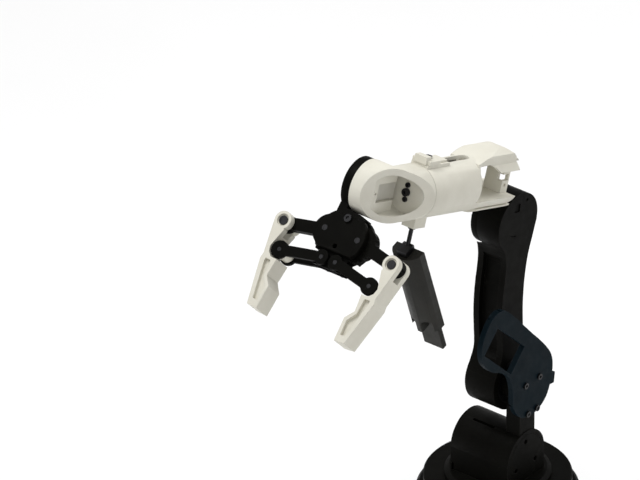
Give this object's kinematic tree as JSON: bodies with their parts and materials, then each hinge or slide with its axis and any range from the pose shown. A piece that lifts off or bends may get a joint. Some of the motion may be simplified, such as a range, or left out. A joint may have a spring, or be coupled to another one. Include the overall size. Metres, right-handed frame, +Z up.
{
  "type": "desktop robot arm",
  "caption": "Six-axis desktop robot arm with a parallel two-finger gripper, black and off-white printed links on a round turntable base.",
  "frame": {"origin": "centre of the foot circle on the table, on the turntable axis", "axes": "+Z up along the turntable axis, +X forward towards the gripper, +Y along the shoulder, elbow and wrist pitch axes"},
  "size_m": [0.2767, 0.15, 0.3549],
  "materials": {
    "black_print": "satin layered black plastic",
    "ivory_print": "matte off-white plastic",
    "navy_print": "satin dark navy plastic",
    "grey_print": "satin dark grey plastic",
    "ballast": "powder coated steel",
    "rubber": "matte",
    "steel": "brushed",
    "servo_case": "semi-gloss",
    "light_servo": "matte",
    "horn_nylon": "matte nylon",
    "brass": "satin",
    "board": "solder mask"
  },
  "bodies": {
    "base": {"base_plate": "ballast", "base_feet": "rubber", "base_housing_front": "black_print", "base_housing_rear": "black_print", "base_cover": "black_print", "base_standoffs": "brass", "base_servo_tray": "black_print", "base_servo": "servo_case", "base_control_board": "board", "base_cable_gland": "servo_case", "base_screws": "steel", "thrust_washer": "horn_nylon"},
    "waist": {"base_horn": "horn_nylon", "waist_disc": "black_print", "turret": "black_print", "turret_end_caps": "black_print", "turret_screws": "steel", "shoulder_bracket": "navy_print", "bracket_screws": "steel", "shoulder_horn": "horn_nylon"},
    "upper_arm": {"upper_arm": "black_print", "shoulder_servo": "servo_case", "shoulder_servo_cover": "black_print", "shoulder_bearing": "steel", "elbow_servo": "servo_case", "arm_cover_screws": "steel"},
    "forearm": {"elbow_horn": "horn_nylon", "elbow_cheek": "black_print", "cheek_screws": "steel", "forearm_shell": "ivory_print", "forearm_clamp": "ivory_print", "clamp_screw": "steel", "wrist_roll_servo": "servo_case", "roll_bearing": "steel", "tool_hanger": "steel", "tool_sleeve": "grey_print", "tool_blade": "grey_print"},
    "wrist": {"wrist_roll_horn": "horn_nylon", "wrist_housing": "ivory_print", "wrist_screws": "steel", "wrist_pitch_servo": "light_servo"},
    "gripper": {"wrist_pitch_horn": "horn_nylon", "gripper_base": "black_print", "gripper_cover": "black_print", "gripper_servo": "servo_case", "gripper_pins": "steel", "gripper_screws": "steel"},
    "left_link": {"left_drive_link": "black_print"},
    "right_link": {"right_drive_link": "black_print"},
    "left_idler": {"left_idler_front": "black_print", "left_idler_back": "black_print"},
    "right_idler": {"right_idler_front": "black_print", "right_idler_back": "black_print"},
    "left_finger": {"left_finger": "ivory_print", "left_finger_pins": "steel"},
    "right_finger": {"right_finger": "ivory_print", "right_finger_pins": "steel"}
  },
  "joints": [
    {"name": "base_yaw", "type": "hinge", "parent": "base", "child": "waist", "pos_m": [0, 0, 0.054], "axis": [0, 0, 1], "range_deg": [-90, 90]},
    {"name": "shoulder_pitch", "type": "hinge", "parent": "waist", "child": "upper_arm", "pos_m": [0, 0, 0.137], "axis": [0, 1, 0], "range_deg": [-30, 55]},
    {"name": "elbow_pitch", "type": "hinge", "parent": "upper_arm", "child": "forearm", "pos_m": [-0.0052, 0, 0.2579], "axis": [0, 1, 0], "range_deg": [-55, 25]},
    {"name": "wrist_roll", "type": "hinge", "parent": "forearm", "child": "wrist", "pos_m": [0.09359, 0, 0.32642], "axis": [0.9397, 0, 0.342], "range_deg": [-90, 90]},
    {"name": "wrist_pitch", "type": "hinge", "parent": "wrist", "child": "gripper", "pos_m": [0.11953, 0, 0.33586], "axis": [0, 1, 0], "range_deg": [-70, 35]},
    {"name": "grip_left", "type": "hinge", "parent": "gripper", "child": "left_link", "pos_m": [0.14673, -0.0278, 0.31049], "axis": [0.682, 0, 0.7314], "range_deg": [0, 70]},
    {"name": "grip_right", "type": "hinge", "parent": "gripper", "child": "right_link", "pos_m": [0.14673, -0.0008, 0.31049], "axis": [0.682, 0, 0.7314], "range_deg": [-70, 0]},
    {"name": "left_idler_swing", "type": "hinge", "parent": "gripper", "child": "left_idler", "pos_m": [0.16063, -0.0201, 0.29753], "axis": [0.682, 0, 0.7314], "range_deg": [0, 70]},
    {"name": "right_idler_swing", "type": "hinge", "parent": "gripper", "child": "right_idler", "pos_m": [0.16063, -0.0085, 0.29753], "axis": [0.682, 0, 0.7314], "range_deg": [-70, 0]},
    {"name": "left_finger_pivot", "type": "hinge", "parent": "left_link", "child": "left_finger", "pos_m": [0.15112, -0.0593, 0.30639], "axis": [0.682, 0, 0.7314], "range_deg": [-70, 0]},
    {"name": "right_finger_pivot", "type": "hinge", "parent": "right_link", "child": "right_finger", "pos_m": [0.15112, 0.0307, 0.30639], "axis": [0.682, 0, 0.7314], "range_deg": [0, 70]}
  ],
  "couplings": [
    {"joint": "grip_right", "follows": "grip_left", "ratio": -1},
    {"joint": "left_idler_swing", "follows": "grip_left", "ratio": 1},
    {"joint": "right_idler_swing", "follows": "grip_left", "ratio": -1},
    {"joint": "left_finger_pivot", "follows": "grip_left", "ratio": -1},
    {"joint": "right_finger_pivot", "follows": "grip_left", "ratio": 1}
  ]
}
